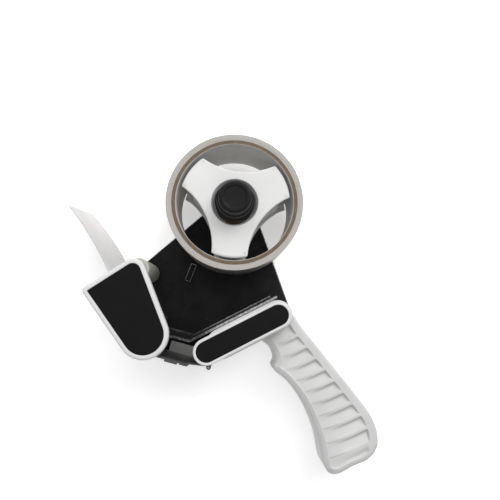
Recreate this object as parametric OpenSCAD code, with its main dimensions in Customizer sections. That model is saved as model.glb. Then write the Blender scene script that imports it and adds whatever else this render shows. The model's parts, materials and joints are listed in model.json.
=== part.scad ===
// Hand-held dispenser for packing tape, lying on the flat back of its steel side plate.
// Z runs along the tape spindle, out of the plate. X runs rearward along the base and Y runs up in use,
// so the handle points towards -Y. The origin is the spindle axis at the plate's back face.

/* [Tape] */
// Inner radius of the cardboard core
core_bore_r = 38.1; // [38.1:0.1:38.8]
// Wall thickness of the core
core_wall = 2.6; // [2:0.1:3.6]
// Thickness of the tape wound on the core
tape_build = 3.8; // [1:0.1:12]
// Width of the tape
tape_w = 48; // [44:1:48]

/* [Side frame] */
// Thickness of the side plate
plate_t = 1.8; // [1.6:0.1:2]
// Radius of the plate's round end behind the hub
boss_r = 15.5; // [14:0.5:17]
// Thickness of the folded base
fold_t = 1.5; // [1:0.1:1.8]
// Distance from the plate's back face to the near edge of the base
frame_depth = 50; // [48:0.5:50.2]
// Angle of the ramp at the front of the base
ramp_angle = 42; // [40:1:44]
// Length of the ramp
ramp_len = 27; // [25:0.5:28]

/* [Hub and knob] */
// Largest radius of the hub's three arms
hub_r = 37.8; // [37.4:0.1:37.8]
// Radius of the hub at its waist, between two arms
waist_r = 20.8; // [20:0.1:22]
// Turn of the three arms about the spindle
hub_turn = -2.4; // [-60:0.2:60]
// Distance from the plate's back face to the hub's front face
hub_front = 52; // [51:0.5:53]
// Radius of the spindle
spindle_r = 4; // [3.5:0.1:4.2]
// Radius of the tension knob's foot
knob_r = 12.9; // [12:0.1:13.2]
// Distance from the plate's back face to the top of the knob
knob_top = 70; // [69:0.5:74]

/* [Front end] */
// Radius of the front roller
roller_r = 6.9; // [6.5:0.1:7.5]
// Distance from the plate's back face to the guard's outer face
guard_face = 58; // [57.5:0.5:60]
// Width of the flap across the tape
flap_w = 46; // [42:1:46]
// Height of the flap's tip over the spindle axis
flap_top = 46; // [38:1:50]
// Number of teeth along the blade
blade_teeth = 22; // [18:1:26]

/* [Handle] */
// Distance from the plate's back face to the head's outer face
head_face = 57; // [56.5:0.5:58]
// Radius of the head's end cap
head_r = 8.4; // [8:0.1:8.8]
// Thickness of the grip
grip_w = 28; // [26:1:30]
// Number of ribs on each side of the grip
rib_count = 10; // [7:1:11]

/* [Hidden] */
$fn = 96;

// Heights above the plate's back face
tape_back = 6;
hub_back = 3.7;
hub_web = 3;
recess_floor = 40;
washer_t = 1;
gap = 0.3;
knob_foot = 49.8;
flap_back = 4.5;
roller_back = 2.8;
guard_inner = guard_face - 4.5;
guard_web = guard_inner + 1.8;
panel_t = 1.2;
head_near = head_face - 4;
grip_mid = 27;
blade_back = 3.5;
leaf_back = 5.5;

// Positions across the plate
roller_at = [-74, -11.4];
flap_pin_at = [-89.2, -15.2];
guard_pin_at = [-61.9, -86.9];
post_at = [[-84, -30], [-79.5, -45]];
screw_at = [[-47, -77.3], [-30, -77.3], [-4, -77.3]];
bolt_at = [-13, -78];
fold = [-65.4, -66];
base_rear = -3;

// Radii of holes and pins
running_fit = 0.05;
bush_r = spindle_r + 2;
recess_r = 14;
recess_lip_r = 15.3;
recess_lip = 4;
axle_r = 3;
small_pin_r = 1.5;
thin_pin_r = 0.75;
hub_wall = 2.4;

// Round corners of the outlines, each [x, y, radius], counter-clockwise
plate_corners = [[0, 0, boss_r], [-102, -14, 4], [-94, -54, 5], [-63, -84.5, 5], [2, -82, 3.5]];
guard_corners = [[-77.2, -11.7, 8], [-107.4, -10.3, 3.2], [-88.4, -50, 15.8]];
cap_ends = [[-8.1, -77.3, head_r], [-58.4, -77.3, head_r]];
body_ends = [[-8.1, -77.3, head_r + 1.1], [-48, -77.3, head_r + 1.1]];
neck_y = -77.3 - head_r - 1.2;

// Points that the grip's outline passes through, counter-clockwise from its top rear corner
grip_points = [[0.5, -79], [-12, -76], [-24.5, -84], [-21, -95], [-22, -103], [-26, -107.2], [-21.5, -118],
               [-18.6, -132], [-18.2, -146], [-20, -161], [-24.2, -175], [-24.4, -182], [-18, -186],
               [-8, -186], [2, -187], [10.5, -184], [15.6, -176], [17.6, -164], [15, -147], [9.5, -121],
               [3.5, -93]];

// Direction of the outward normal on the tangent from circle a to circle b
function tangent_angle(a, b) =
    let (step = [b.x - a.x, b.y - a.y])
    atan2(step.y, step.x) - 90 + asin((a.z - b.z) / norm(step));

// Outline that wraps a counter-clockwise list of circles
function wrap(c, step = 6) = [
    for (i = [0 : len(c) - 1])
        let (start = tangent_angle(c[(i + len(c) - 1) % len(c)], c[i]),
             sweep = (tangent_angle(c[i], c[(i + 1) % len(c)]) - start + 720) % 360,
             count = ceil(sweep / step))
        for (k = [0 : count])
            [c[i].x, c[i].y] + c[i].z * [cos(start + sweep * k / count), sin(start + sweep * k / count)]
];

// The same circles with another radius
function grow(c, by) = [for (k = c) [k.x, k.y, k.z + by]];

// Closed smooth curve through a list of points
function smooth(p, steps = 5) = [
    for (i = [0 : len(p) - 1], k = [0 : steps - 1])
        let (n = len(p), t = k / steps, a = p[(i + n - 1) % n], b = p[i], c = p[(i + 1) % n], d = p[(i + 2) % n])
        b + t * (c - a) / 2 + t * t * (a - 2.5 * b + 2 * c - d / 2) + t * t * t * (1.5 * (b - c) + (d - a) / 2)
];

// Puts children in the ramp's own frame: X up the ramp, Y out of its underside, Z as before
module on_ramp() translate(fold) rotate(180 - ramp_angle) children();

// A point of the plate seen in the ramp's frame
function ramp_xy(p) =
    let (v = p - fold, c = cos(180 - ramp_angle), s = sin(180 - ramp_angle))
    [v.x * c + v.y * s, v.y * c - v.x * s];

module slab(points, z0, z1) translate([0, 0, z0]) linear_extrude(z1 - z0) polygon(points);
module rod(p, r, z0, z1) translate([p.x, p.y, z0]) cylinder(r = r, h = z1 - z0);
module tube(p, r_out, r_in, z0, z1) translate([p.x, p.y, z0]) linear_extrude(z1 - z0) difference() {
    circle(r_out);
    circle(r_in);
}

// Countersunk head whose flat face is at the plate's back face
module flush_head(p, r) translate([p.x, p.y, 0]) cylinder(r1 = r + 1.4, r2 = r, h = 1.4);

// Solid through a stack of rings, each of the same number of points, rings + 1 in all
module skin(points, sides, rings) {
    walls = [
        for (i = [0 : rings - 1], k = [0 : sides - 1])
            let (a = i * sides + k, b = i * sides + (k + 1) % sides)
            each [[a, b + sides, b], [a, a + sides, b + sides]]
    ];
    first = [for (k = [0 : sides - 1]) k];
    last = [for (k = [sides - 1 : -1 : 0]) rings * sides + k];
    polyhedron(points, concat(walls, [first, last]));
}

// Coil of round wire with ground ends, from height 0 to height h
module coil(r, wire_r, h, turns, sides = 6, per_turn = 14) {
    rings = turns * per_turn;
    points = [
        for (i = [0 : rings], k = [0 : sides - 1])
            let (a = 360 * i / per_turn, b = 360 * k / sides, rr = r + wire_r * cos(b))
            [rr * cos(a), rr * sin(a), wire_r + (h - 2 * wire_r) * i / rings + wire_r * sin(b)]
    ];
    skin(points, sides, rings);
}

// ---- Side frame ----

module base_profile() {
    end_drop = 8;
    under = ramp_len - fold_t;
    polygon([[base_rear, fold.y], fold, fold + up_ramp(ramp_len, 0), fold + up_ramp(ramp_len, end_drop),
             fold + up_ramp(under, end_drop), fold + up_ramp(under, fold_t),
             fold - fold_t * [tan(ramp_angle / 2), 1], [base_rear, fold.y - fold_t]]);
}

// Offset by s up the ramp and t out of its underside
function up_ramp(s, t) =
    s * [-cos(ramp_angle), sin(ramp_angle)] + t * [-sin(ramp_angle), -cos(ramp_angle)];

module side_frame() color("#17181a") difference() {
    union() {
        slab(wrap(plate_corners), 0, plate_t);
        translate([0, 0, plate_t]) linear_extrude(frame_depth - plate_t) base_profile();
        translate([-47.4, -23.9, plate_t]) rotate(42) translate([-6.7, -2.1, 0]) cube([13.4, 4.2, 1]);
    }
    rod([0, 0], spindle_r, -1, plate_t + 1);
    flush_head([0, 0], spindle_r);
    rod(roller_at, axle_r, -1, plate_t + 1);
    rod(flap_pin_at, small_pin_r, -1, plate_t + 1);
    rod(guard_pin_at, thin_pin_r, -1, plate_t + 1);
    for (p = post_at) rod(p, axle_r - 1, -1, plate_t + 1);
    for (p = screw_at) {
        rod(p, small_pin_r, -1, plate_t + 1);
        flush_head(p, small_pin_r);
    }
    for (z = blade_screw_z) on_ramp() blade_hole(z, ramp_len - 3);
}

module frame_screws() color("#b8babc") for (p = screw_at) {
    rod(p, small_pin_r, 0, 9);
    flush_head(p, small_pin_r);
}

// ---- Hub, tape and tension knob ----

module spindle() color("#c4c6c8") difference() {
    union() {
        rod([0, 0], spindle_r, 0, knob_top - 6.5);
        flush_head([0, 0], spindle_r);
        rod([0, 0], spindle_r + 3, plate_t, hub_back - gap);
    }
    translate([-10, spindle_r - 0.8, recess_floor + washer_t + 0.1]) cube([20, 10, 40]);
}

module hub_outline(inward = 0) {
    arm_centre = 68.5;
    difference() {
        circle(hub_r - inward);
        for (k = [0 : 2]) rotate(hub_turn + 60 + 120 * k)
            translate([arm_centre, 0]) circle(arm_centre - waist_r + inward);
    }
}

module hub() color("#f4f4f2") difference() {
    union() {
        difference() {
            intersection() {
                translate([0, 0, hub_back]) linear_extrude(hub_front - hub_back) hub_outline();
                rotate_extrude() polygon([[0, hub_back], [hub_r, hub_back], [hub_r, hub_front - 6],
                                          [hub_r - 2, hub_front], [0, hub_front]]);
            }
            linear_extrude(hub_front - hub_web) hub_outline(hub_wall);
        }
        rod([0, 0], bush_r + 3, hub_back, recess_floor);
        rod([0, 0], recess_r + 2.6, recess_floor - 3, hub_front);
        for (k = [0 : 2]) rotate(hub_turn + 120 * k)
            translate([hub_r - 3, -8, hub_back]) cube([core_bore_r + core_wall - hub_r + 3.4, 16, 2]);
    }
    rod([0, 0], recess_r, recess_floor, hub_front + 1);
    translate([0, 0, hub_front - recess_lip]) cylinder(r1 = recess_r, r2 = recess_lip_r, h = recess_lip);
    rod([0, 0], bush_r, 0, hub_front + 1);
}

module hub_bushes() color("#e9e6dc") {
    tube([0, 0], bush_r, spindle_r + running_fit, hub_back, 13);
    tube([0, 0], bush_r, spindle_r + running_fit, 31, recess_floor);
}

module tape_core() color("#c7ae93")
    tube([0, 0], core_bore_r + core_wall, core_bore_r, tape_back, tape_back + tape_w);

module tape_roll() color("#dcdad6")
    tube([0, 0], core_bore_r + core_wall + tape_build, core_bore_r + core_wall, tape_back, tape_back + tape_w);

module friction_washer() color("#8a5a3c")
    tube([0, 0], recess_r - 1.5, bush_r, recess_floor, recess_floor + washer_t);

// Steel disc with a flat in its hole, so that it can't turn on the spindle
module keyed_disc(z, r) translate([0, 0, z]) linear_extrude(washer_t) difference() {
    circle(r);
    difference() {
        circle(spindle_r + running_fit);
        translate([-10, spindle_r - 0.8 + running_fit]) square([20, 10]);
    }
}

disc_z = recess_floor + washer_t + gap;
press_z = knob_foot - gap - washer_t;

module brake_disc() color("#a9abad") keyed_disc(disc_z, recess_r - 2);
module pressure_washer() color("#a9abad") keyed_disc(press_z, recess_r - 2.4);
module brake_spring() color("#c4c6c8") translate([0, 0, disc_z + washer_t + 0.05])
    coil(8, 0.5, press_z - disc_z - washer_t - 0.1, 3);

module tension_knob() color("#222222") difference() {
    rotate_extrude() polygon([
        [0, knob_foot], [knob_r, knob_foot], [knob_r, knob_foot + 3.6], [knob_r - 0.7, knob_foot + 4.3],
        [knob_r - 1.5, knob_foot + 4.6], [knob_r - 1.5, knob_foot + 5.6], [knob_r - 1.2, knob_foot + 6],
        [knob_r - 1.5, knob_top - 9], [knob_r - 2.4, knob_top - 8], [knob_r - 2.7, knob_top - 1.2],
        [knob_r - 3.8, knob_top], [0, knob_top]]);
    rod([0, 0], 7, knob_foot - 1, knob_top - 8);
    rod([0, 0], spindle_r + 0.6, knob_foot - 1, knob_top - 3.2);
}

module knob_insert() color("#b99a4a")
    tube([0, 0], 7, spindle_r + running_fit, knob_foot, knob_top - 8);

// ---- Roller ----

module roller() color("#a9a8a1")
    tube(roller_at, roller_r, axle_r + 2, roller_back, guard_inner - 0.7);

module roller_bushes() color("#e9e6dc") for (z = [roller_back, guard_inner - 6.7])
    tube(roller_at, axle_r + 2, axle_r + running_fit, z, z + 6);

module roller_axle() color("#c4c6c8") rod(roller_at, axle_r, 0, guard_web);

// ---- Guard ----

module guard_shell() color("#eeeeec") difference() {
    slab(wrap(guard_corners), guard_inner, guard_face);
    slab(wrap(grow(guard_corners, -3)), guard_face - panel_t, guard_face + 1);
    difference() {
        slab(wrap(grow(guard_corners, -2.2)), guard_inner - 1, guard_web);
        rod(roller_at, axle_r + 1.8, guard_inner - 1, guard_web);
        rod(flap_pin_at, small_pin_r + 1.8, guard_inner - 1, guard_web);
        for (p = post_at) rod(p, axle_r + 1.8, guard_inner - 1, guard_web);
    }
    rod(roller_at, axle_r, guard_inner - 1, guard_web);
    rod(flap_pin_at, small_pin_r, guard_inner - 1, guard_web);
    for (p = post_at) {
        rod(p, axle_r, guard_inner - 1, guard_web);
        rod(p, small_pin_r, guard_web - 1, guard_face);
    }
}

module guard_panel() color("#1b1c1e")
    slab(wrap(grow(guard_corners, -3.1)), guard_face - panel_t + 0.5, guard_face - 0.1);

module guard_posts() color("#b8babc") for (p = post_at) difference() {
    union() {
        rod(p, axle_r, plate_t, guard_web);
        rod(p, axle_r - 1, 0, plate_t);
    }
    rod(p, small_pin_r, guard_web - 10, guard_web + 1);
}

module guard_screws() color("#b8babc") for (p = post_at)
    rod(p, small_pin_r, guard_web - 9, guard_face - panel_t + 0.4);

// ---- Flap ----

flap_root = [-89.2, -11];
flap_bend = [-87.7, 18];
flap_tip = [-94.6, flap_top];
flap_t = 1.4;
rivet_y = -8.3;
rivet_z = [flap_back + 8, flap_back + flap_w / 2, flap_back + flap_w - 8];

// Point of the flap's middle line, and half its thickness across it
function flap_mid(t) = (1 - t) * (1 - t) * flap_root + 2 * t * (1 - t) * flap_bend + t * t * flap_tip;
function flap_side(t, side) =
    let (v = (1 - t) * (flap_bend - flap_root) + t * (flap_tip - flap_bend))
    flap_mid(t) + side * flap_t * (1 - 0.6 * t) / 2 * [-v.y, v.x] / norm(v);

module rivet_row(r, x0, x1) for (z = rivet_z)
    translate([x0, rivet_y, z]) rotate([0, 90, 0]) cylinder(r = r, h = x1 - x0);

// The flap is set at a slight angle: its far edge leans towards the tape, its near edge away from it
flap_skew = 3;
module skewed() translate([flap_pin_at.x, 0, flap_back + flap_w / 2])
    rotate([0, -atan(2 * flap_skew / flap_w), 0]) translate([-flap_pin_at.x, 0, -flap_back - flap_w / 2]) children();

module flap() color("#e3e3e1") difference() {
    rows = 20;
    skin([for (i = [0 : rows]) let (t = i / rows, lean = [flap_skew * (1 - 0.3 * t), 0]) each [
        concat(flap_side(t, -1) + lean, [flap_back]), concat(flap_side(t, -1) - lean, [flap_back + flap_w]),
        concat(flap_side(t, 1) - lean, [flap_back + flap_w]), concat(flap_side(t, 1) + lean, [flap_back])
    ]], 4, rows);
    skewed() rivet_row(1.2, -92, -86);
}

knuckle_z = [flap_back + 3.5, flap_back + flap_w - 11.5];

module flap_holder() color("#a9abad") difference() {
    union() {
        skewed() {
            translate([flap_pin_at.x + 1.1, flap_pin_at.y, flap_back + 3.5]) cube([1, 9.5, flap_w - 7]);
            translate([flap_pin_at.x - 1.4, flap_pin_at.y, knuckle_z[0]]) cube([3, 2.4, 8]);
        }
        for (z = knuckle_z) rod(flap_pin_at, 2.6, z, z + 8);
    }
    rod(flap_pin_at, small_pin_r + running_fit, 0, guard_face);
    translate([flap_pin_at.x - 5, flap_pin_at.y - 5, flap_back + 12]) cube([10, 8.4, flap_w - 24]);
    skewed() rivet_row(1.2, -92, -86);
}

module flap_rivets() color("#c4c6c8") skewed() {
    rivet_row(1.2, -90.4, -86.2);
    rivet_row(2.2, -90.8, -90);
    rivet_row(2.2, -87.1, -86.2);
}

module flap_pin() color("#c4c6c8") rod(flap_pin_at, small_pin_r, 0, guard_web);

module flap_spring() color("#c4c6c8") translate([flap_pin_at.x, flap_pin_at.y, flap_back + 15])
    coil(2.3, 0.4, 9, 8);

// ---- Blade and its guard ----

blade_w = 46;
blade_top = 13.5;
blade_screw_z = [blade_back + 11, blade_back + 35];
blade_screw_n = 5;

module blade_hole(z, x0) translate([x0, blade_screw_n, z]) rotate([0, 90, 0]) cylinder(r = small_pin_r, h = 8);

module cutting_blade() color("#c9cbcd") on_ramp() difference() {
    tooth = blade_w / blade_teeth;
    translate([ramp_len, 0, blade_back]) rotate([90, 0, 90]) linear_extrude(1) polygon(concat(
        [[1, 0]], [for (k = [0 : blade_teeth - 1]) each [[blade_top - 2.6, k * tooth],
                                                        [blade_top, (k + 0.5) * tooth]]],
        [[blade_top - 2.6, blade_w], [1, blade_w]]));
    for (z = blade_screw_z) blade_hole(z, ramp_len - 3);
}

module blade_screws() color("#b8babc") on_ramp() for (z = blade_screw_z)
    translate([ramp_len - 2.6, blade_screw_n, z]) rotate([0, 90, 0]) {
        cylinder(r = small_pin_r, h = 4.4);
        translate([0, 0, 3.6]) cylinder(r = 2.8, h = 1.6);
    }

guard_n = 14.4;
sheet_t = 1.2;
curl_r = 1.5;

module blade_guard() color("#55585b") {
    pin = ramp_xy(guard_pin_at);
    on_ramp() {
        translate([-4, guard_n, 2.6]) cube([ramp_len + 3, sheet_t, frame_depth - 2.6]);
        translate([-3, 7, 2.6]) cube([17.5, guard_n - 6.9, sheet_t]);
        translate([0, 0, leaf_back]) linear_extrude(frame_depth - leaf_back) difference() {
            union() {
                polygon([[-3, guard_n + 0.4], [-3, guard_n - 0.8], [pin.x, pin.y - curl_r],
                         [pin.x, pin.y - curl_r + 0.9]]);
                translate(pin) circle(curl_r);
            }
            translate(pin) circle(thin_pin_r + running_fit);
        }
    }
}

module runner_strips() color("#c9cbcd") on_ramp() {
    translate([3.3, guard_n + sheet_t, 6]) cube([8.3, 1.2, frame_depth - 5.8]);
    translate([-3.2, guard_n + sheet_t, 6]) cube([5.2, 0.7, frame_depth - 5.8]);
}

module blade_guard_pin() color("#c4c6c8") rod(guard_pin_at, thin_pin_r, 0, frame_depth + 0.4);

module blade_guard_spring() color("#c4c6c8") translate([guard_pin_at.x, guard_pin_at.y, 2.3])
    coil(1.6, 0.3, 3, 4);

// ---- Head and grip ----

module head_body() color("#dededc") difference() {
    slab(wrap(body_ends), plate_t, head_near);
    translate([-100, fold.y - fold_t - 0.05, 0]) cube([200, 20, 100]);
    slab(wrap([[-33, -77.3, 6], [-46, -77.3, 6]]), 12, head_near + 1);
    translate([-23, -95, grip_mid - 7.1]) cube([20, 24, 14.2]);
    for (p = screw_at) rod(p, small_pin_r, 0, 9.5);
    rod(bolt_at, small_pin_r, plate_t, head_near + 1);
}

module head_cap() color("#f0f0ee") difference() {
    slab(wrap(cap_ends), head_near, head_face);
    slab(wrap(grow(cap_ends, -1.8)), head_face - panel_t, head_face + 1);
}

module head_panel() color("#1b1c1e")
    slab(wrap(grow(cap_ends, -1.9)), head_face - panel_t + 0.1, head_face - 0.1);

grip_outline = smooth(grip_points);
module grip_shape(inward, z0, z1) translate([0, 0, z0]) linear_extrude(z1 - z0)
    offset(delta = -inward) polygon(grip_outline);
grip_screw_at = [[-9, -103], [-4, -135], [-4, -172]];
recess_depth = 3;
shell_t = 3;

module rib_lines(width) for (i = [0 : rib_count - 1])
    translate([-40, -94.7 - i * 82.6 / (rib_count - 1) - width / 2]) square([80, width]);

// One half of the grip, with its parting face at height 0 and its outer face up.
// The half with posts takes the screws, the other half lets their heads in.
module grip_half(posts) difference() {
    h = grip_w / 2;
    union() {
        difference() {
            slab(grip_outline, 0, h);
            grip_shape(shell_t, -1, h - recess_depth - shell_t);
            grip_shape(4.6, h - recess_depth, h + 1);
        }
        translate([0, 0, h - recess_depth - 0.5]) linear_extrude(recess_depth) intersection() {
            offset(delta = -4.5) polygon(grip_outline);
            rib_lines(1.4);
        }
        for (p = grip_screw_at) rod(p, 3.6, 0, h - recess_depth);
        translate([-22.8, -88, 0]) cube([19.6, 16.8, 7]);
    }
    translate([0, 0, -1]) linear_extrude(50) difference() {
        polygon(wrap(grow(body_ends, 0.05)));
        translate([-22.8, -95]) square([19.6, 23.8]);
    }
    translate([-30, neck_y, 7]) cube([26.8, 30, 20]);
    for (p = grip_screw_at) {
        rod(p, small_pin_r, -1, posts ? h - recess_depth - 2 : h + 1);
        if (!posts) rod(p, 2.6, 3, h + 1);
    }
    rod(bolt_at, small_pin_r, -1, h);
}

module grip_near() color("#ececea") translate([0, 0, grip_mid]) grip_half(true);
module grip_far() color("#ececea") translate([0, 0, grip_mid]) mirror([0, 0, 1]) grip_half(false);

module grip_screws() color("#b8babc") for (p = grip_screw_at) {
    rod(p, small_pin_r, grip_mid - 3, grip_mid + 8);
    rod(p, 2.5, grip_mid - 5, grip_mid - 3);
}

module grip_bolt() color("#b8babc") rod(bolt_at, small_pin_r, plate_t, head_near);

side_frame();
frame_screws();
spindle();
hub();
hub_bushes();
tape_core();
tape_roll();
friction_washer();
brake_disc();
brake_spring();
pressure_washer();
tension_knob();
knob_insert();
roller();
roller_bushes();
roller_axle();
guard_shell();
guard_panel();
guard_posts();
guard_screws();
flap();
flap_holder();
flap_rivets();
flap_pin();
flap_spring();
cutting_blade();
blade_screws();
blade_guard();
runner_strips();
blade_guard_pin();
blade_guard_spring();
head_body();
head_cap();
head_panel();
grip_near();
grip_far();
grip_screws();
grip_bolt();
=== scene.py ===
"""The looks of the hand-held packing-tape dispenser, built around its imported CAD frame.

Shapes are worked out in millimetres from the CAD nodes' own faces, and become metres in build().
"""
import json
import math

import bmesh
import bpy
import numpy as np
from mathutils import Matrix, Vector
from mathutils.geometry import tessellate_polygon


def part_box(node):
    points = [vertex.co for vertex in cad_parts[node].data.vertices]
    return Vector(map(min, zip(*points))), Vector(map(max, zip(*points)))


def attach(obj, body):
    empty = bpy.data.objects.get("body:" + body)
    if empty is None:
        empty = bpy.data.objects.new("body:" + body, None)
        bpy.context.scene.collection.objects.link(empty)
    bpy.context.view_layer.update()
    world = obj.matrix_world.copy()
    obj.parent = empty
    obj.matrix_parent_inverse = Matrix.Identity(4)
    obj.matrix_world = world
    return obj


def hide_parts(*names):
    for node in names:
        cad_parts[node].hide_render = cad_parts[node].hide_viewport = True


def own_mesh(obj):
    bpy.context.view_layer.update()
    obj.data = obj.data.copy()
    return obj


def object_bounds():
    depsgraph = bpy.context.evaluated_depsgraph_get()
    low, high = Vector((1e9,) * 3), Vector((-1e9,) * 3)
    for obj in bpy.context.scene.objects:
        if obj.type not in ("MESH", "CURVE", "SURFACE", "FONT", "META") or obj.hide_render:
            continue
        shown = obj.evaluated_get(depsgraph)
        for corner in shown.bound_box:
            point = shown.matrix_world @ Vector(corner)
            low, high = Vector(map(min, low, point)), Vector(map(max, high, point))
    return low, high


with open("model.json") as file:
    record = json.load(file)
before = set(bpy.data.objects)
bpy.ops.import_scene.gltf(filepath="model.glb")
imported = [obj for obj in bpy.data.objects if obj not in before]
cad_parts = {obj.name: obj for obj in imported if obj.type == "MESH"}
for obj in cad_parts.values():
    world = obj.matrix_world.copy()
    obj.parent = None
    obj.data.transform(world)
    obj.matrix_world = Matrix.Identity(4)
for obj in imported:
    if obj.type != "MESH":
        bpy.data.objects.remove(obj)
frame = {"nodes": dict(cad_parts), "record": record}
cad_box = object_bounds()
nodes = frame["nodes"]
behaviour = frame["record"]["behaviour"]
MM = 0.001


# ---- Materials ----

class Shader:
    """A principled material and short calls for the nodes behind it."""

    def __init__(self, name, roughness=0.5, metallic=0.0, specular=0.5):
        self.material = bpy.data.materials.new(name)
        self.material.use_nodes = True
        self.tree = self.material.node_tree
        self.bsdf = self.tree.nodes["Principled BSDF"]
        self.bsdf.inputs["Roughness"].default_value = roughness
        self.bsdf.inputs["Metallic"].default_value = metallic
        self.bsdf.inputs["Specular IOR Level"].default_value = specular
        self.place = self.add("ShaderNodeTexCoord").outputs["Object"]

    def add(self, kind, **values):
        node = self.tree.nodes.new(kind)
        for key, value in values.items():
            setattr(node, key, value)
        return node

    def join(self, source, target):
        self.tree.links.new(source, target)

    def maths(self, operation, *values):
        """A maths node; each value is a socket or a number."""
        node = self.add("ShaderNodeMath", operation=operation)
        for socket, value in zip(node.inputs, values):
            if isinstance(value, (int, float)):
                socket.default_value = value
            else:
                self.join(value, socket)
        return node.outputs["Value"]

    def axes(self, source=None):
        """The x, y and z of a vector socket, by default the place on the object."""
        split = self.add("ShaderNodeSeparateXYZ")
        self.join(source or self.place, split.inputs["Vector"])
        return [split.outputs[k] for k in "XYZ"]

    def stretched(self, scale, turn=0.0):
        """The place on the object, turned about Z and scaled per axis, for a texture that runs one way."""
        mapping = self.add("ShaderNodeMapping")
        mapping.inputs["Scale"].default_value = scale
        mapping.inputs["Rotation"].default_value = (0, 0, turn)
        self.join(self.place, mapping.inputs["Vector"])
        return mapping.outputs["Vector"]

    def noise(self, scale, detail=3.0, vector=None):
        node = self.add("ShaderNodeTexNoise")
        node.inputs["Scale"].default_value = scale
        node.inputs["Detail"].default_value = detail
        self.join(vector or self.place, node.inputs["Vector"])
        return node.outputs["Fac"]

    def ramp(self, value, stops):
        """Maps 0..1 to colours or greys; stops are (position, grey or colour)."""
        node = self.add("ShaderNodeValToRGB")
        elements = node.color_ramp.elements
        while len(elements) < len(stops):
            elements.new(0.5)
        for element, (position, shade) in zip(elements, stops):
            element.position = position
            rgb = shade if isinstance(shade, tuple) else (shade,) * 3
            element.color = (*rgb, 1)
        self.join(value, node.inputs["Fac"])
        return node.outputs["Color"]

    def mixed(self, mask, first, second):
        """The first colour where the mask is 0 and the second where it is 1."""
        node = self.add("ShaderNodeMix", data_type="RGBA")
        self.join(mask, node.inputs["Factor"])
        self.join(first, node.inputs["A"])
        self.join(second, node.inputs["B"])
        return node.outputs["Result"]

    def colour(self, socket):
        self.join(socket, self.bsdf.inputs["Base Color"])

    def roughness(self, value, low, high, start=0.3, end=0.7):
        self.join(self.ramp(value, [(start, low), (end, high)]), self.bsdf.inputs["Roughness"])

    def bump(self, *layers):
        """Stacks bump layers, each (value, depth in metres)."""
        normal = None
        for value, depth in layers:
            node = self.add("ShaderNodeBump")
            node.inputs["Distance"].default_value = depth
            self.join(value, node.inputs["Height"])
            if normal:
                self.join(normal, node.inputs["Normal"])
            normal = node.outputs["Normal"]
        self.join(normal, self.bsdf.inputs["Normal"])


def tint(rgb, factor):
    return tuple(min(1.0, c * factor) for c in rgb)


def moulded(name, rgb, roughness, grain=0.00003, specular=0.4, translucent=0.0):
    """Moulded plastic: slight cloudiness, a spark-eroded grain and a few faint scuffs."""
    s = Shader(name, specular=specular)
    s.colour(s.ramp(s.noise(38, 4), [(0.3, tint(rgb, 0.95)), (0.7, tint(rgb, 1.03))]))
    s.roughness(s.noise(160, 5), roughness - 0.06, roughness + 0.08)
    scuffs = s.ramp(s.noise(90, 6, s.stretched((1, 9, 1), 0.6)), [(0.62, 0.0), (0.72, 1.0)])
    s.bump((s.noise(2600, 2), grain), (scuffs, grain * 0.4))
    if translucent:
        s.bsdf.inputs["Subsurface Weight"].default_value = translucent
        s.bsdf.inputs["Subsurface Scale"].default_value = 0.002
    return s.material


def enamel(name, rgb, roughness, specular, bare_and_highlit_edges=False):
    """Black enamel on sheet steel: orange peel, hairline scratches, smudges, bare metal on cut edges,
    painted highlight lines along the bend and the tab's top edges, and painted shade that dulls these edge
    marks before the head's front end.
    """
    s = Shader(name, specular=specular)
    black = s.ramp(s.noise(60, 5), [(0.35, tint(rgb, 0.8)), (0.7, tint(rgb, 1.4))])
    scratch = s.ramp(s.noise(60, 9, s.stretched((1, 34, 1), 0.5)), [(0.62, 0.0), (0.64, 1.0)])
    patch = s.ramp(s.noise(26, 3), [(0.52, 0.0), (0.62, 1.0)])
    marks = s.maths("MULTIPLY", s.maths("MULTIPLY", scratch, patch), 0.25)
    scuffed = s.ramp(s.noise(300, 2), [(0.0, 0.10), (1.0, 0.22)])
    finish = s.mixed(marks, black, scuffed)
    if bare_and_highlit_edges:
        normal = s.axes(s.add("ShaderNodeNewGeometry").outputs["Normal"])
        height = s.axes()[2]
        plate_t = side_frame_levels()["plate"] * MM
        near = side_frame_levels()["near"] * MM
        tilted = s.maths("LESS_THAN", s.maths("ABSOLUTE", normal[2]), 0.985)
        # low marks the plate's cut rim, which is bare metal.
        low = s.maths("LESS_THAN", height, plate_t)
        # bend and tab are painted highlights: lighter lines along the fillet of the bend and along the tab's
        # rounded top edges.
        bend = s.maths("COMPARE", height, plate_t + 0.2 * MM, 0.17 * MM)
        tab = s.maths("COMPARE", height, plate_t + 0.85 * MM, 0.14 * MM)
        bare_rim_and_highlit_lines = s.maths("MULTIPLY", tilted, s.maths("MAXIMUM", low, s.maths("MAXIMUM", bend, tab)))
        edge = s.maths("MAXIMUM", bare_rim_and_highlit_lines, s.maths("GREATER_THAN", height, near - 0.12 * MM))
        grain = s.noise(700, 5)
        # The bare-edge colour in a lit and a shaded copy. Painted shade dulls the edge marks and highlight
        # lines where x is below the head's front end, and they are lit from 12 mm past it.
        lit_bare_edge = s.ramp(grain, [(0.32, 0.14), (0.60, 0.42)])
        shaded_bare_edge = s.ramp(grain, [(0.38, 0.02), (0.62, 0.13)])
        from_head = s.maths("SUBTRACT", s.axes()[0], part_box("head_body")[0].x)
        past_fold = s.ramp(s.maths("DIVIDE", from_head, 12 * MM), [(0.0, 0.0), (1.0, 1.0)])
        finish = s.mixed(edge, finish, s.mixed(past_fold, shaded_bare_edge, lit_bare_edge))
    s.colour(finish)
    s.roughness(s.noise(45, 6), roughness, roughness + 0.16, 0.45, 0.75)
    s.bump((s.noise(900, 2), 0.000008), (scratch, 0.000010))
    return s.material


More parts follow.
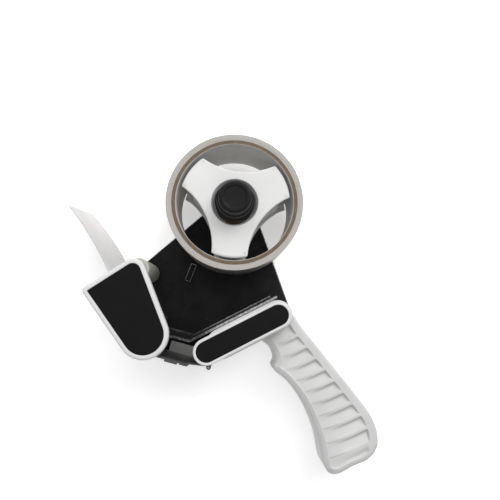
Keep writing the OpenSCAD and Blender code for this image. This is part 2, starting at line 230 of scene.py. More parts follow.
def plated(name, rgb, roughness, turn=0.0, metallic=1.0, near_shade=1.0):
    """Plated or ground steel with fine drawing lines and faint stains; near_shade paints shade that darkens
    it towards its near side, so its lighter far side is a painted reflection.
    """
    s = Shader(name, metallic=metallic)
    stains = s.noise(70, 5)
    far_tone, near_tone = [s.ramp(stains, [(0.3, tint(rgb, 0.86 * shade)), (0.7, tint(rgb, shade))])
                           for shade in (1.0, near_shade)]
    # Painted shade and reflection: nearness fades the colour from the far tone to the near tone, which
    # near_shade darkens.
    nearness = s.ramp(s.maths("DIVIDE", s.axes()[2], 50 * MM), [(0.08, 0.0), (0.75, 1.0)])
    s.colour(s.mixed(nearness, far_tone, near_tone))
    lines = s.noise(300, 4, s.stretched((1, 30, 1), turn))
    s.roughness(lines, roughness - 0.08, roughness + 0.12)
    s.bump((lines, 0.000010))
    return s.material


def radius_of(s):
    """Distance from the tape spindle, in millimetres."""
    x, y, _ = s.axes()
    square = s.maths("ADD", s.maths("MULTIPLY", x, x), s.maths("MULTIPLY", y, y))
    return s.maths("DIVIDE", s.maths("SQRT", square), MM)


def fibreboard(name, rgb, liner, bore):
    """Wound board: rings of plies on the cut edge, a pale paper liner with a spiral seam in the bore."""
    s = Shader(name, roughness=0.85, specular=0.2)
    radius = radius_of(s)
    plies = s.maths("SINE", s.maths("MULTIPLY", radius, 2 * math.pi / 0.45))
    fibres = s.noise(420, 6)
    board = s.ramp(fibres, [(0.3, tint(rgb, 0.8)), (0.7, tint(rgb, 1.12))])
    dark_ply = s.ramp(s.maths("MULTIPLY_ADD", plies, 0.25, fibres), [(0.25, tint(rgb, 0.6)), (0.6, rgb)])
    cut = s.mixed(s.noise(90, 2), board, dark_ply)
    x, y, z = s.axes()
    turn = s.maths("DIVIDE", s.maths("ARCTAN2", y, x), 2 * math.pi)
    pitch = 0.075
    wrap = s.maths("FRACT", s.maths("ADD", turn, s.maths("DIVIDE", z, pitch)))
    seam = s.ramp(wrap, [(0.0, 1.0), (0.012, 0.0)])
    paper = s.ramp(s.noise(160, 6), [(0.3, tint(liner, 0.9)), (0.7, liner)])
    shadow = s.ramp(fibres, [(0.0, tint(liner, 0.45)), (1.0, tint(liner, 0.6))])
    inside = s.maths("LESS_THAN", radius, bore + 0.25)
    s.colour(s.mixed(inside, cut, s.mixed(seam, paper, shadow)))
    s.bump((s.noise(1500, 6), 0.00005), (seam, 0.0001))
    return s.material


def wound_film(name, rgb, face):
    """Clear tape on the roll: fine rings of layers on the edge and a cloudy, glossy outer face, coloured far
    darker than the edge as painted shade.
    """
    s = Shader(name, roughness=0.3)
    radius = radius_of(s)
    layers = s.maths("SINE", s.maths("MULTIPLY", radius, 2 * math.pi / 0.17))
    bands = s.maths("SINE", s.maths("MULTIPLY", radius, 2 * math.pi / 0.9))
    tone = s.maths("MULTIPLY_ADD", bands, 0.12, s.maths("MULTIPLY_ADD", layers, 0.16, 0.5))
    clouded = s.maths("MULTIPLY_ADD", s.noise(30, 3), 0.4, tone)
    edge = s.ramp(clouded, [(0.35, tint(rgb, 0.82)), (1.0, tint(rgb, 1.1))])
    # The outer face's colour is set far darker than the edge's; this is painted shade on that face.
    clouds = s.noise(55, 5, s.stretched((1, 1, 0.3)))
    outer = s.ramp(clouds, [(0.3, tint(face, 0.85)), (0.7, tint(face, 1.15))])
    roll_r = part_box("tape_roll")[1].x / MM
    outside = s.maths("GREATER_THAN", radius, roll_r - 0.2)
    s.colour(s.mixed(outside, edge, outer))
    s.roughness(s.noise(120, 4), 0.28, 0.5)
    s.bump((layers, 0.00002), (s.noise(400, 3), 0.00001))
    return s.material


def make_materials():
    bore = core_radii()[0]
    return {
        # Black enamel whose edge marks carry painted highlight lines along the bend and tab, and painted
        # shade before the head.
        "black_steel": enamel("black_steel", (0.0130, 0.0130, 0.0132), 0.24, 0.12, bare_and_highlit_edges=True),
        # dark_steel's near_shade paints the blade guard's fade from a light far side, a painted reflection,
        # to painted shade at its near side.
        "dark_steel": plated("dark_steel", (0.86, 0.865, 0.85), 0.4, 0.7, metallic=0.1, near_shade=0.09),
        "zinc_steel": plated("zinc_steel", (0.62, 0.63, 0.64), 0.34),
        "blade_steel": plated("blade_steel", (0.70, 0.71, 0.72), 0.26),
        "insert_brass": plated("insert_brass", (0.78, 0.58, 0.28), 0.3),
        "white_plastic": moulded("white_plastic", (0.70, 0.70, 0.70), 0.5),
        "head_plastic": moulded("head_plastic", (0.62, 0.62, 0.61), 0.55),
        "grip_plastic": moulded("grip_plastic", (0.60, 0.60, 0.595), 0.5),
        "hub_plastic": moulded("hub_plastic", (0.72, 0.72, 0.715), 0.55),
        "panel_plastic": moulded("panel_plastic", (0.0045, 0.0045, 0.0045), 0.48, 0.00002, 0.18),
        "knob_plastic": moulded("knob_plastic", (0.007, 0.007, 0.007), 0.5, 0.00004, 0.2),
        "roller_plastic": moulded("roller_plastic", (0.45, 0.45, 0.41), 0.5),
        "flap_plastic": moulded("flap_plastic", (0.62, 0.62, 0.615), 0.4, translucent=0.25),
        "nylon": moulded("nylon", (0.66, 0.63, 0.56), 0.4),
        "core_board": fibreboard("core_board", (0.175, 0.133, 0.095), (0.66, 0.65, 0.63), bore),
        "fibre": fibreboard("fibre", (0.20, 0.11, 0.06), (0.20, 0.11, 0.06), 0.0),
        # The tape film's last colour is its outer face, darkened as painted shade.
        "tape_film": wound_film("tape_film", (0.50, 0.475, 0.445), (0.18, 0.175, 0.16)),
    }


def finish_of(node):
    """The material slot that the record gives a CAD node."""
    return next(s["material_slot"] for s in frame["record"]["subparts"] if s["node"] == node)


def body_of(node):
    return next(body for body, members in behaviour["bodies"].items() if node in members)


# ---- Outlines ----

def levels(node):
    """Lowest and highest z of a CAD node, in mm."""
    low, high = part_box(node)
    return low.z / MM, high.z / MM


def face_loops(node, z):
    """Closed counter-clockwise outlines of a CAD node's flat faces at height z, longest first, in mm."""
    mesh = nodes[node].data
    ids = {}
    index = [ids.setdefault(tuple(round(c / MM, 3) for c in v.co), len(ids)) for v in mesh.vertices]
    points = list(ids)
    edges = set()
    for face in mesh.polygons:
        ring = [index[i] for i in face.vertices]
        if all(abs(points[i][2] - z) < 0.01 for i in ring):
            for a, b in zip(ring, ring[1:] + ring[:1]):
                if (b, a) in edges:
                    edges.remove((b, a))
                else:
                    edges.add((a, b))
    following = dict(edges)
    loops = []
    while following:
        start, here = following.popitem()
        ring = [start]
        while here != start:
            ring.append(here)
            here = following.pop(here)
        loop = np.array([points[i][:2] for i in ring])
        x, y = loop.T
        area = np.sum(x * np.roll(y, -1) - y * np.roll(x, -1))
        loops.append(loop if area > 0 else loop[::-1])
    return sorted(loops, key=lambda loop: -length_of(loop))


def length_of(loop):
    return np.linalg.norm(np.roll(loop, -1, 0) - loop, axis=1).sum()


def along(path, distances):
    """Points of an open path at the given distances from its start."""
    run = np.concatenate([[0], np.cumsum(np.linalg.norm(np.diff(path, axis=0), axis=1))])
    return np.column_stack([np.interp(distances, run, path[:, k]) for k in range(path.shape[1])])


def resample(loop, step):
    """The closed loop with points evenly spaced, about step apart."""
    total = length_of(loop)
    count = max(24, round(total / step))
    return along(np.vstack([loop, loop[:1]]), np.arange(count) * total / count)


def relaxed(loop, passes):
    """The closed loop with its corners worn round."""
    for _ in range(passes):
        loop = 0.5 * loop + 0.25 * (np.roll(loop, 1, 0) + np.roll(loop, -1, 0))
    return loop


def inset(loop, distance):
    """The closed loop moved inward by distance."""
    ahead = np.roll(loop, -1, 0) - loop
    normal = np.column_stack([-ahead[:, 1], ahead[:, 0]]) / np.linalg.norm(ahead, axis=1)[:, None]
    both = normal + np.roll(normal, 1, 0)
    return loop + distance * 2 * both / (both ** 2).sum(1)[:, None]


def rounded(corners, steps=4):
    """Points along a path with rounded corners; each corner is (u, v) or (u, v, radius)."""
    path = []
    for i, corner in enumerate(corners):
        here = np.array(corner[:2], float)
        if len(corner) < 3:
            path.append(here)
            continue
        back = np.array(corners[i - 1][:2]) - here
        on = np.array(corners[(i + 1) % len(corners)][:2]) - here
        back /= np.linalg.norm(back)
        on /= np.linalg.norm(on)
        half = math.acos(back @ on) / 2
        middle = (back + on) / np.linalg.norm(back + on)
        centre = here + middle * corner[2] / math.sin(half)
        first = here + back * corner[2] / math.tan(half) - centre
        last = here + on * corner[2] / math.tan(half) - centre
        sweep = math.pi - 2 * half
        for t in np.linspace(0, 1, steps + 1):
            turned = math.sin((1 - t) * sweep) * first + math.sin(t * sweep) * last
            path.append(centre + turned / math.sin(sweep))
    return path


# ---- Solids, each a list of points and a list of faces ----

def ring(loop, z):
    return np.column_stack([loop, np.full(len(loop), z)])


def circle(radius, centre=(0, 0), count=144, fall=0.0):
    """A circle, or one turn of a spiral whose radius falls by the given amount."""
    angle = np.arange(count) * 2 * math.pi / count
    reach = radius - fall * angle / (2 * math.pi)
    return np.column_stack([centre[0] + reach * np.cos(angle), centre[1] + reach * np.sin(angle)])


def skin(rings, closed=False, capped=True):
    """A skin over rings of equal count, joined end to end if closed, with flat ends if capped."""
    count = len(rings[0])
    faces = []
    for r in range(len(rings) if closed else len(rings) - 1):
        a = r * count
        b = (r + 1) % len(rings) * count
        faces += [(a + k, a + (k + 1) % count, b + (k + 1) % count, b + k) for k in range(count)]
    if capped and not closed:
        last = (len(rings) - 1) * count
        faces += cover(rings[0])[1]
        faces += [tuple(last + k for k in face) for face in cover(rings[-1])[1]]
    return np.vstack(rings), faces


def cover(*rings):
    """A flat face inside the first ring and outside the others."""
    triangles = tessellate_polygon([[Vector(p) for p in r] for r in rings])
    return np.vstack(rings), [tuple(t) for t in triangles]


def lathe(profile, centre=(0, 0), closed=False, count=144):
    """A solid turned about Z; profile is a path of (radius, z)."""
    return skin([ring(circle(r, centre, count), z) for r, z in profile], closed)


def slab(loop, profile):
    """A solid over a closed loop; profile is a path of (inset, z) from its bottom cap to its top cap."""
    return skin([ring(inset(loop, d), z) for d, z in profile])


def rim(z0, z1, edge):
    """Profile of a plain slab with rounded edges."""
    return rounded([(2 * edge, z0), (0, z0, edge), (0, z1, edge), (2 * edge, z1)], 3)


def pierced(outer, holes, z0, z1, edge):
    """A flat plate with holes right through it and rounded edges."""
    walls = []
    for loop, way in [(outer, 1)] + [(hole, -1) for hole in holes]:
        walls.append([ring(inset(loop, way * d), z) for d, z in rim(z0, z1, edge)])
    skins = [skin(rings, capped=False) for rings in walls]
    return [*skins, cover(*[rings[0] for rings in walls]), cover(*[rings[-1] for rings in walls])]


def build(name, *solids, sharp=38):
    """One mesh object from solids in mm, with smooth shading that breaks at sharp edges."""
    bm = bmesh.new()
    for points, faces in solids:
        verts = [bm.verts.new(Vector(p) * MM) for p in points]
        for face in faces:
            bm.faces.new([verts[i] for i in face])
    bmesh.ops.remove_doubles(bm, verts=bm.verts, dist=0.001 * MM)
    bmesh.ops.recalc_face_normals(bm, faces=bm.faces)
    mesh = bpy.data.meshes.new(name)
    bm.to_mesh(mesh)
    bm.free()
    mesh.shade_smooth()
    mesh.set_sharp_from_angle(angle=math.radians(sharp))
    piece = bpy.data.objects.new(name, mesh)
    bpy.context.scene.collection.objects.link(piece)
    normals = piece.modifiers.new("normals", "WEIGHTED_NORMAL")
    normals.keep_sharp = True
    return piece


def stands_for(piece, node):
    """The piece takes a CAD node's place, body and material."""
    slot = finish_of(node)
    piece.data.materials.append(FINISH[slot])
    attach(piece, body_of(node))
    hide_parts(node)


# ---- Side frame ----

def side_frame_levels():
    """Heights of the side frame's faces: the plate's front and the base's near edge."""
    plate = max(round(v.co.z / MM, 3) for v in nodes["side_frame"].data.vertices if v.co.y > -0.01)
    return {"plate": plate, "near": levels("side_frame")[1]}


def folded_profile(loop, bend):
    """The folded sheet's outline, with each bend given a real radius inside and out."""
    corners = []
    thickness = min(np.linalg.norm(np.roll(loop, -1, 0) - loop, axis=1))
    for i, here in enumerate(loop):
        back = here - loop[i - 1]
        on = loop[(i + 1) % len(loop)] - here
        at_end = min(np.linalg.norm(back), np.linalg.norm(on)) < thickness + 0.1
        if at_end:
            corners.append((*here, 0.5))
        else:
            corners.append((*here, bend + thickness if turn_at(loop, i) > 0 else bend))
    return np.array(rounded(corners, 6))


def inner_fillet(path, z, radius):
    """The weld-like inner bend between the plate at height z and a wall that stands on the path."""
    arc = [(radius * (1 - math.sin(a)), radius * (1 - math.cos(a))) for a in np.linspace(0, math.pi / 2, 7)]
    section = [(-0.3, -0.3), (radius, -0.3), *arc, (-0.3, radius)]
    step = np.gradient(path, axis=0)
    side = np.column_stack([-step[:, 1], step[:, 0]]) / np.linalg.norm(step, axis=1)[:, None]
    rings = []
    for here, out in zip(path, side):
        rings.append(np.array([[*(here + out * d), z + h] for d, h in section]))
    return skin(rings)


def make_side_frame():
    plate, near = side_frame_levels().values()
    outline, *holes = [resample(loop, 0.8) for loop in face_loops("side_frame", 0)]
    sheet = pierced(outline, holes, 0, plate, 0.7)
    base_loop = face_loops("side_frame", near)[0]
    base = slab(folded_profile(base_loop, 1.6), rim(plate / 2, near, 0.2))
    tab_loop = face_loops("side_frame", plate + 1)[0]
    tab = slab(resample(tab_loop, 0.5), rounded([(1, plate / 2), (0, plate / 2), (0, plate + 1, 0.45),
                                                 (1, plate + 1)]))
    inner = upper_path(base_loop)
    fillet = inner_fillet(inner, plate, 1.3)
    piece = build("frame_sheet", *sheet, base, tab, fillet)
    stands_for(piece, "side_frame")


def upper_path(loop):
    """The base's top line, down the ramp to the fold and back to the base's rear end."""
    fold = min((i for i in range(len(loop)) if turn_at(loop, i) < 0), key=lambda i: loop[i][1])
    rear, front = loop[fold - 1], loop[(fold + 1) % len(loop)]
    path = np.array(rounded([tuple(front), (*loop[fold], 1.6), tuple(rear)], 6))
    return along(path, np.linspace(0.2, span(path) - 0.2, 60))


def span(path):
    return np.linalg.norm(np.diff(path, axis=0), axis=1).sum()


def turn_at(loop, i):
    """Positive where a counter-clockwise loop has an outward corner, negative where it has an inward one."""
    back = loop[i] - loop[i - 1]
    on = loop[(i + 1) % len(loop)] - loop[i]
    return back[0] * on[1] - back[1] * on[0]


# ---- Hub, core, tape and knob ----

def make_hub():
    back, front = levels("hub")
    outline, recess = face_loops("hub", front)[:2]
    lip_r = np.linalg.norm(recess, axis=1).mean()
    loop = relaxed(resample(outline, 0.6), 3)
    reach = np.linalg.norm(loop, axis=1)
    middle = (front + back) / 2 * MM
    tip_r = max(math.hypot(v.co.x, v.co.y) for v in nodes["hub"].data.vertices if v.co.z > middle) / MM
    tip_height = 6
    at_tip = np.clip((reach - reach.max() + 2.2) / 1.6, 0, 1)
    direction = loop / reach[:, None]

    def arms(z):
        growth = (tip_r - reach.max()) * min(1, (front - z) / tip_height)
        return loop + direction * (at_tip * growth)[:, None]

    wall, web, boss_r = 2.4, 3, 9
    bush_r = np.linalg.norm(face_loops("hub_bushes", back)[0], axis=1).mean()
    floor = levels("friction_washer")[0]
    bore_r = lip_r - 1.3
    inside = rounded([(lip_r + 1.2, front), (lip_r, front, 0.6), (bore_r, front - 4, 2), (bore_r, floor, 1),
                      (bush_r, floor), (bush_r, back), (boss_r, back), (boss_r, floor - 3),
                      (lip_r + 1.3, floor - 3), (lip_r + 1.3, front - web)])
    cup = [ring(circle(r), z) for r, z in inside]
    edge = rounded([(2.4, front), (0, front, 1.1), (0, front - tip_height, 2), (0, back, 0.5), (2, back)], 5)
    shell = [ring(inset(arms(z), d), z) for d, z in edge]
    hollow = inset(relaxed(loop, 60), wall)
    shell += [ring(hollow, back), ring(hollow, front - web)]
    solid = [skin(cup, capped=False), skin(shell, capped=False), cover(shell[0], cup[0]),
             cover(shell[-1], cup[-1])]
    tabs = []
    for angle in tab_angles(loop):
        along_arm = np.array([math.cos(angle), math.sin(angle)])
        across = np.array([-along_arm[1], along_arm[0]])
        flange_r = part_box("hub")[1].x / MM
        corners = [(tip_r - 3, -8), (flange_r - 0.6, -8, 1.5), (flange_r - 0.6, 8, 1.5), (tip_r - 3, 8)]
        flat = np.array([along_arm * u + across * v for u, v in rounded(corners)])
        tabs.append(slab(flat, rim(back, back + 2, 0.3)))
    piece = build("hub_shell", *solid, *tabs, sharp=50)
    stands_for(piece, "hub")


def tab_angles(loop):
    """Directions of the three arms."""
    angle = np.arctan2(loop[:, 1], loop[:, 0])
    reach = np.linalg.norm(loop, axis=1)
    far = reach > reach.max() - 0.5
    first = np.angle(np.exp(3j * angle[far]).mean()) / 3
    return [first + k * 2 * math.pi / 3 for k in range(3)]


def make_core():
    z0, z1 = levels("tape_core")
    bore, outer = core_radii()
    profile = rounded([(bore, z0, 0.35), (outer, z0, 0.2), (outer, z1, 0.2), (bore, z1, 0.35)], 3)
    stands_for(build("core_tube", lathe(profile, closed=True, count=180)), "tape_core")


def core_radii():
    loops = face_loops("tape_core", levels("tape_core")[1])
    return sorted(np.linalg.norm(loop, axis=1).mean() for loop in loops)


def make_tape():
    """The wound tape: layers that wander slightly at the edge, and a loose end on the outside."""
    z0, z1 = levels("tape_roll")
    inner = core_radii()[1]
    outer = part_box("tape_roll")[1].x / MM - 0.02
    layers = 14
    end_step = 0.15
    radii = np.linspace(inner, outer, layers + 1)
    wander = [0.10 + 0.07 * math.sin(2.4 * k) for k in range(layers)]
    near = [(r, z1 - w) for r0, r1, w in zip(radii, radii[1:], wander) for r in (r0 + 0.02, r1 - 0.02)]
    far = [(r, z0 + w) for r0, r1, w in zip(radii, radii[1:], wander) for r in (r0 + 0.02, r1 - 0.02)]
    section = near + [(outer, z1 - 0.25), (outer, z0 + 0.25)] + far[::-1]
    rings = [ring(circle(r, count=240, fall=end_step * (r > outer - 0.1)), z) for r, z in section]
    stands_for(build("tape_windings", skin(rings, closed=True), sharp=60), "tape_roll")


def make_knob():
    z0, z1 = levels("tension_knob")
    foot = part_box("tension_knob")[1].x / MM
    corners = [(4.6, z1 - 3.4), (4.6, z1 - 8), (7, z1 - 8), (7, z0), (foot, z0, 0.4), (foot, z0 + 4, 0.9),
               (foot - 1.5, z0 + 4.7, 0.4), (foot - 1.5, z0 + 5.7, 0.3), (foot - 1.1, z0 + 6.2, 0.2),
               (foot - 1.5, z1 - 8.6, 1.0), (foot - 2.4, z1 - 7.8, 0.6), (foot - 2.8, z1, 1.3),
               (foot - 5.2, z1, 0.6), (foot - 6.2, z1 - 0.55, 0.6), (1, z1 - 0.75)]
    stands_for(build("knob_cap", lathe(rounded(corners))), "tension_knob")


# ---- Roller, guard and flap ----

def make_roller():
    z0, z1 = levels("roller")
    low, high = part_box("roller")
    centre = ((low.x + high.x) / 2 / MM, (low.y + high.y) / 2 / MM)
    outer = (high.x - low.x) / 2 / MM
    inner = outer - 2.6
    profile = rounded([(inner, z0, 0.3), (outer, z0, 0.9), (outer, z1, 0.9), (inner, z1, 0.3)], 4)
    stands_for(build("roller_sleeve", lathe(profile, centre, closed=True)), "roller")


def make_guard():
    inner, face = levels("guard_shell")
    outline = resample(face_loops("guard_shell", face)[0], 0.5)
    seat = levels("guard_panel")[0] - 0.1
    web = inner + 1.8
    profile = rounded([(2.2, web), (2.2, inner, 0.3), (0, inner, 0.4), (0, face, 1.7), (3, face, 0.3),
                       (3, seat)], 6)
    bosses = []
    for node, bore in (("guard_posts", 3.05), ("roller_axle", 3.05), ("flap_pin", 1.55)):
        for x, y in centres(node):
            section = [(bore, inner), (bore + 1.75, inner), (bore + 1.75, web + 0.2), (bore, web + 0.2)]
            bosses.append(lathe(section, (x, y), closed=True, count=48))
    stands_for(build("guard_frame", slab(outline, profile), *bosses), "guard_shell")
    z0, z1 = levels("guard_panel")
    loop = resample(face_loops("guard_panel", z1)[0], 0.5)
    panel = slab(loop, rounded([(0, z0), (0, z1, 0.22), (0.5, z1)], 3))
    stands_for(build("guard_inlay", panel), "guard_panel")


def centres(node):
    """Centres of the pins in a CAD node, from the outlines of their front ends."""
    return sorted({tuple(np.round(loop.mean(0), 2)) for loop in face_loops(node, levels(node)[1])})


def make_flap():
    """A bent sheet that leans over across its width and has its upper corners rounded off."""
    z0, z1 = levels("flap")
    far, near = face_loops("flap", z0)[0], face_loops("flap", z1)[0]
    low, high = near[:, 1].min() + 0.02, min(far[:, 1].max(), near[:, 1].max()) - 0.03
    across = np.linspace(z0, z1, 48)
    share = ((across - z0) / (z1 - z0))[:, None]
    drop = corner_drop(across - z0, 5) + corner_drop(z1 - across, 1.2)
    rings = []
    for t in np.linspace(0, 1, 60):
        height = low + (high - low - drop) * t
        ends = [np.array([crossings(loop, y) for y in height]) for loop in (far, near)]
        sides = ends[0] + share * (ends[1] - ends[0])
        front = np.column_stack([sides[:, 0], height, across])
        back = np.column_stack([sides[:, 1], height, across])
        rings.append(np.vstack([front, back[::-1]]))
    stands_for(build("wiper_flap", skin(rings), sharp=60), "flap")


def corner_drop(distance, radius):
    """How far a round corner falls below the straight edge, at a distance from its side."""
    inside = np.clip(radius - distance, 0, radius)
    return radius - np.sqrt(radius ** 2 - inside ** 2)


def crossings(loop, y):
    """Smallest and largest x where a closed loop crosses the height y."""
    a, b = loop, np.roll(loop, -1, 0)
    hit = (a[:, 1] - y) * (b[:, 1] - y) <= 0
    a, b = a[hit], b[hit]
    rise = b[:, 1] - a[:, 1]
    flat = abs(rise) < 1e-9
    share = np.where(flat, 0.5, (y - a[:, 1]) / np.where(flat, 1, rise))
    x = a[:, 0] + share * (b[:, 0] - a[:, 0])
    return x.min(), x.max()


# ---- Head and grip ----

def make_head():
    back, near = levels("head_body")
    outline = relaxed(resample(face_loops("head_body", near)[0], 0.5), 4)
    body = slab(outline, rounded([(1, back), (0, back), (0, near, 0.7), (2, near)]))
    stands_for(build("head_block", body), "head_body")
    z0, face = levels("head_cap")
    z_panel = levels("head_panel")[0] - 0.1
    loop = resample(face_loops("head_cap", face)[0], 0.5)
    profile = rounded([(0.3, z0), (0, z0 + 0.3), (0, face, 0.8), (1.8, face, 0.25), (1.8, z_panel)], 5)
    cap = slab(loop, profile)
    stands_for(build("head_rim", cap), "head_cap")
    z0, z1 = levels("head_panel")
    loop = resample(face_loops("head_panel", z1)[0], 0.5)
    panel = slab(loop, rounded([(0, z0), (0, z1, 0.22), (0.5, z1)], 3))
    stands_for(build("head_inlay", panel), "head_panel")


# The grip's cross ribs: how many there are, the height of the highest at the grip's back, and their spacing.
RIB_COUNT = 10
RIB_TOP = -94.7
RIB_PITCH = 9.18


def smoothstep(x):
    x = np.clip(x, 0, 1)
    return x * x * (3 - 2 * x)


def grip_sides():
    """The grip's finger side and back side, both from the head down, and its heel between them."""
    loop = face_loops("grip_near", levels("grip_near")[1])[0]
    last = np.argmax(loop[:, 1] + loop[:, 0] * 0.01)
    neck = np.flatnonzero(loop[:, 1] > loop[last, 1] - 8)
    first = neck[np.argmin(loop[neck, 0])]
    chain = np.roll(loop, -first, 0)[:(last - first) % len(loop) + 1]
    chain = along(chain, np.linspace(0, span(chain), 900))
    for _ in range(40):
        chain[1:-1] = 0.5 * chain[1:-1] + 0.25 * (chain[2:] + chain[:-2])
    heel = np.argmax(-chain @ np.array([1.0, 1.0]))
    rear = np.argmax(chain @ np.array([1.0, -1.0]))
    return chain[:heel + 1], chain[rear:][::-1], chain[heel:rear + 1]


def distance_to(path, points):
    """Distance from each point of a grid to the nearest point of a path."""
    fine = along(path, np.linspace(0, span(path), 700))
    flat = points.reshape(-1, 2)
    nearest = np.full(len(flat), 1e9)
    for chunk in np.array_split(fine, 20):
        nearest = np.minimum(nearest, np.linalg.norm(flat[:, None] - chunk[None], axis=2).min(1))
    return nearest.reshape(points.shape[:2])


def at_height(path, y):
    """The point of a downward path at height y."""
    order = np.argsort(path[:, 1])
    return np.array([np.interp(y, path[order, 1], path[order, 0]), y])


def grip_grid():
    """Rows of points across the grip that follow its ribs, each row's height, and the grip's sides."""
    finger, back, bottom = grip_sides()
    last_rib = RIB_TOP - (RIB_COUNT - 1) * RIB_PITCH
    near_rib = [0, 0.22, 0.42, 0.6, 0.8, 1.1, 1.6]
    offsets = sorted({*near_rib, *[-d for d in near_rib], *np.linspace(2.2, RIB_PITCH - 2.2, 8)})
    heights = [RIB_TOP + d for d in np.linspace(back[0][1] - RIB_TOP, 2, 22)]
    for k in range(RIB_COUNT):
        rib = RIB_TOP - k * RIB_PITCH
        heights += [rib - d for d in offsets if k < RIB_COUNT - 1 or d <= 0]
    heights += list(np.linspace(last_rib - 0.2, back[-1][1], 34))
    heights = sorted(set(np.round(heights, 4)), reverse=True)
    finger_at = np.interp(heights, [back[-1][1], last_rib, RIB_TOP, back[0][1]],
                          [finger[-1][1], last_rib + 4.2, RIB_TOP + 1.2, finger[0][1]])
    close = [0, 0.12, 0.35, 0.7, 1.1, 1.6, 2.2, 2.9, 3.5, 3.9, 4.2, 4.5, 4.9, 5.4]
    closer = [0, 0.12, 0.35, 0.7, 1.1, 1.6, 2.2, 3.0, 4.0, 5.0, 5.5, 5.8, 6.1, 6.4, 6.7, 7.0, 7.4, 8.0]
    rows = []
    for y, y_finger in zip(heights, finger_at):
        a, b = at_height(finger, y_finger), at_height(back, y)
        width = np.linalg.norm(b - a)
        share = np.concatenate([np.array(close) / width,
                                np.linspace(close[-1] / width, 1 - closer[-1] / width, 30)[1:-1],
                                1 - np.array(closer)[::-1] / width])
        row = a + share[:, None] * (b - a)
        row[:, 1] -= 4.8 * share * (1 - share) * smoothstep((back[0][1] - y) / 5)
        pull = smoothstep((last_rib - y) / (last_rib - back[-1][1]))
        target = along(bottom, share * span(bottom))
        rows.append(row + pull * (target - row))
    return np.array(rows), np.array(heights), (finger, back, bottom)


def grip_height(points, heights, sides, thickness):
    """Height of the grip's face over its parting plane, at each point of the grid."""
    to_finger, to_back, to_heel = [distance_to(side, points) for side in sides]
    rounds = ((to_finger, 4.4), (to_back, 2.0), (to_heel, 3.4))
    rounding = sum(corner_drop(distance, radius) ** 4 for distance, radius in rounds) ** 0.25
    front_to_back = to_finger / (to_finger + to_back)
    floor = 2.4 * (0.15 + 0.85 * smoothstep(front_to_back / 0.9))
    walls = (smoothstep((to_finger - 4.0) / 1.0) * smoothstep((to_back - 5.6) / 0.9)
             * smoothstep((to_heel - 3.8) / 1.2))
    place = (RIB_TOP - heights) / RIB_PITCH
    cell = np.clip(np.floor(place), -1, RIB_COUNT - 1)
    down = (place - cell)[:, None]
    scoop = 0.35 + 0.65 * (1 - smoothstep((down - 0.25) / 0.75))
    under_rib = (1 - smoothstep((down * RIB_PITCH - 0.5) / 2.4)) * (cell >= 0)[:, None]
    over_rib = (1 - smoothstep(((1 - down) * RIB_PITCH - 0.5) / 1.6)) * (cell < RIB_COUNT - 1)[:, None]
    rib = np.maximum(under_rib, over_rib) * smoothstep((front_to_back - 0.12) / 0.4)
    depth = floor * scoop * (1 - rib)
    ridge = 0.3 * np.exp(-((np.minimum(to_finger, to_heel + 0.3) - 3.9) / 0.45) ** 2) * (to_back > 7)
    return thickness - rounding - walls * depth + ridge * (1 - smoothstep((3.2 - to_heel) / 2))


def make_grip_half(name, node, side):
    """One half of the grip. side is 1 for the near half and -1 for the far one."""
    z0, z1 = levels(node)
    parting = z0 if side > 0 else z1
    points, heights, sides = grip_grid()
    height = grip_height(points, heights, sides, z1 - z0)
    rows, cols = height.shape
    grid = np.dstack([points, parting + side * height]).reshape(-1, 3)
    faces = [(r * cols + c, r * cols + c + 1, (r + 1) * cols + c + 1, (r + 1) * cols + c)
             for r in range(rows - 1) for c in range(cols - 1)]
    border = (list(range(cols)) + [r * cols + cols - 1 for r in range(1, rows)]
              + [(rows - 1) * cols + c for c in range(cols - 2, -1, -1)]
              + [r * cols for r in range(rows - 2, 0, -1)])
    edge = grid[border][:, :2]
    seam = inset(edge[::-1], 0.25)[::-1]
    lower = [ring(edge, parting + side * 0.4), ring(seam, parting + side * 0.02)]
    base = len(grid)
    count = len(border)
    loops = [border] + [list(range(base + k * count, base + (k + 1) * count)) for k in range(2)]
    for first, second in zip(loops, loops[1:]):
        faces += [(first[k], first[(k + 1) % count], second[(k + 1) % count], second[k])
                  for k in range(count)]
    stands_for(build(name, (np.vstack([grid, *lower]), faces), cover(lower[-1]), sharp=70), node)


# ---- Brake spring ----

def make_brake_spring():
    """The brake spring under the washer: a copy of its CAD mesh, riding on the spring's body."""
    node = nodes["brake_spring"]
    piece = bpy.data.objects.new("brake_spring_coil", node.data.copy())
    piece.matrix_world = node.matrix_world.copy()
    piece.data.materials.clear()
    bpy.context.scene.collection.objects.link(piece)
    stands_for(piece, "brake_spring")
    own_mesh(piece)
    return piece


# ---- CAD nodes that keep their shape ----

def soften(node, radius):
    """Breaks a CAD node's sharp edges."""
    obj = nodes[node]
    weld = obj.modifiers.new("weld", "WELD")
    weld.merge_threshold = 0.002 * MM
    flat = obj.modifiers.new("flat", "DECIMATE")
    flat.decimate_type = "DISSOLVE"
    flat.angle_limit = math.radians(0.5)
    bevel = obj.modifiers.new("bevel", "BEVEL")
    bevel.width = radius
    bevel.segments = 3
    bevel.limit_method = "ANGLE"
    bevel.angle_limit = math.radians(35)
    normals = obj.modifiers.new("normals", "WEIGHTED_NORMAL")
    normals.keep_sharp = True


# ---- Stage ----

def area_light(name, at, aim, size, power, mirrored=True):
    data = bpy.data.lights.new(name, "AREA")
    data.shape = "RECTANGLE"
    data.size, data.size_y = size
    data.energy = power
    lamp = bpy.data.objects.new(name, data)
    lamp.location = at
    lamp.rotation_euler = (Vector(aim) - Vector(at)).to_track_quat("-Z", "Y").to_euler()
    lamp.visible_glossy = mirrored
    bpy.context.scene.collection.objects.link(lamp)


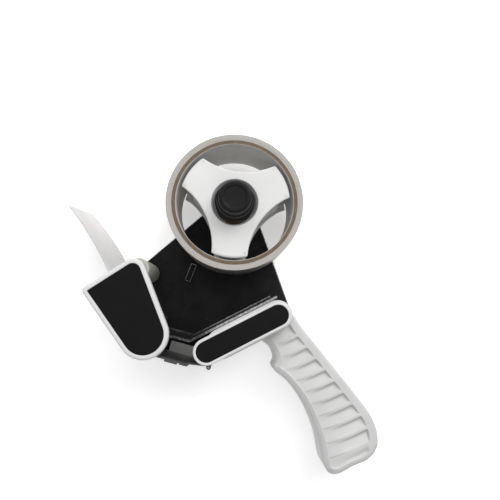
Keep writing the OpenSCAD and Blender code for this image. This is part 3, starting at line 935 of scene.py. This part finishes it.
def make_stage():
    low, high = cad_box
    middle = (low + high) / 2
    reach = 3.0
    corners = [(middle.x + sx * reach, middle.y + sy * reach, low.z)
               for sx, sy in [(-1, -1), (1, -1), (1, 1), (-1, 1)]]
    mesh = bpy.data.meshes.new("floor")
    mesh.from_pydata(corners, [], [(0, 1, 2, 3)])
    floor = bpy.data.objects.new("floor", mesh)
    bpy.context.scene.collection.objects.link(floor)
    s = Shader("floor_paper", roughness=0.9, specular=0.1)
    s.colour(s.ramp(s.noise(3, 2), [(0.3, 0.93), (0.7, 0.95)]))
    s.bsdf.inputs["Emission Color"].default_value = (1, 1, 1, 1)
    s.bsdf.inputs["Emission Strength"].default_value = 0.35
    mesh.materials.append(s.material)
    world = bpy.data.worlds.new("studio")
    world.use_nodes = True
    world.node_tree.nodes["Background"].inputs["Color"].default_value = (1, 1, 1, 1)
    world.node_tree.nodes["Background"].inputs["Strength"].default_value = 0.18
    bpy.context.scene.world = world
    aim = (middle.x, middle.y, 0.03)
    area_light("top", (0.10, 0.10, 1.20), aim, (0.8, 0.8), 4.0, mirrored=False)
    area_light("key_right", (0.75, 0.30, 0.80), aim, (0.7, 0.8), 8.0)
    area_light("fill_left", (-0.85, -0.05, 0.75), aim, (0.8, 0.9), 1.4)
    area_light("fill_back", (0.05, 0.80, 0.80), aim, (0.9, 0.8), 3.6)
    area_light("fill_front", (-0.10, -0.60, 0.95), aim, (0.7, 0.6), 0.9)


def make_camera():
    """The camera of the photograph, fitted to the tape core's near and far rims."""
    data = bpy.data.cameras.new("camera")
    data.sensor_width = 36
    data.lens = 38.1
    data.clip_start = 0.01
    camera = bpy.data.objects.new("camera", data)
    camera.location = (-0.0326, -0.0585, 0.390)
    camera.rotation_euler = [math.radians(a) for a in (6.04, -2.15, -26.73)]
    bpy.context.scene.collection.objects.link(camera)
    bpy.context.scene.camera = camera


FINISH = make_materials()
for node_name, node_object in nodes.items():
    node_object.data.materials.clear()
    node_object.data.materials.append(FINISH[finish_of(node_name)])

make_side_frame()
make_hub()
make_core()
make_tape()
make_knob()
make_roller()
make_guard()
make_flap()
make_head()
make_grip_half("grip_half_near", "grip_near", 1)
make_grip_half("grip_half_far", "grip_far", -1)

SHARP_NODES = [
    "frame_screws", "spindle", "hub_bushes", "friction_washer", "brake_disc", "pressure_washer",
    "knob_insert", "roller_bushes", "roller_axle", "guard_posts", "guard_screws", "flap_holder",
    "flap_rivets", "flap_pin", "cutting_blade", "blade_screws", "blade_guard", "runner_strips",
    "blade_guard_pin", "grip_screws", "grip_bolt"]
for node_name in SHARP_NODES:
    soften(node_name, 0.15 * MM)
for spring in (make_brake_spring(), nodes["flap_spring"], nodes["blade_guard_spring"]):
    smooth = spring.modifiers.new("smooth", "SUBSURF")
    smooth.levels = smooth.render_levels = 1

make_stage()
make_camera()
bpy.context.scene.view_settings.view_transform = "Standard"
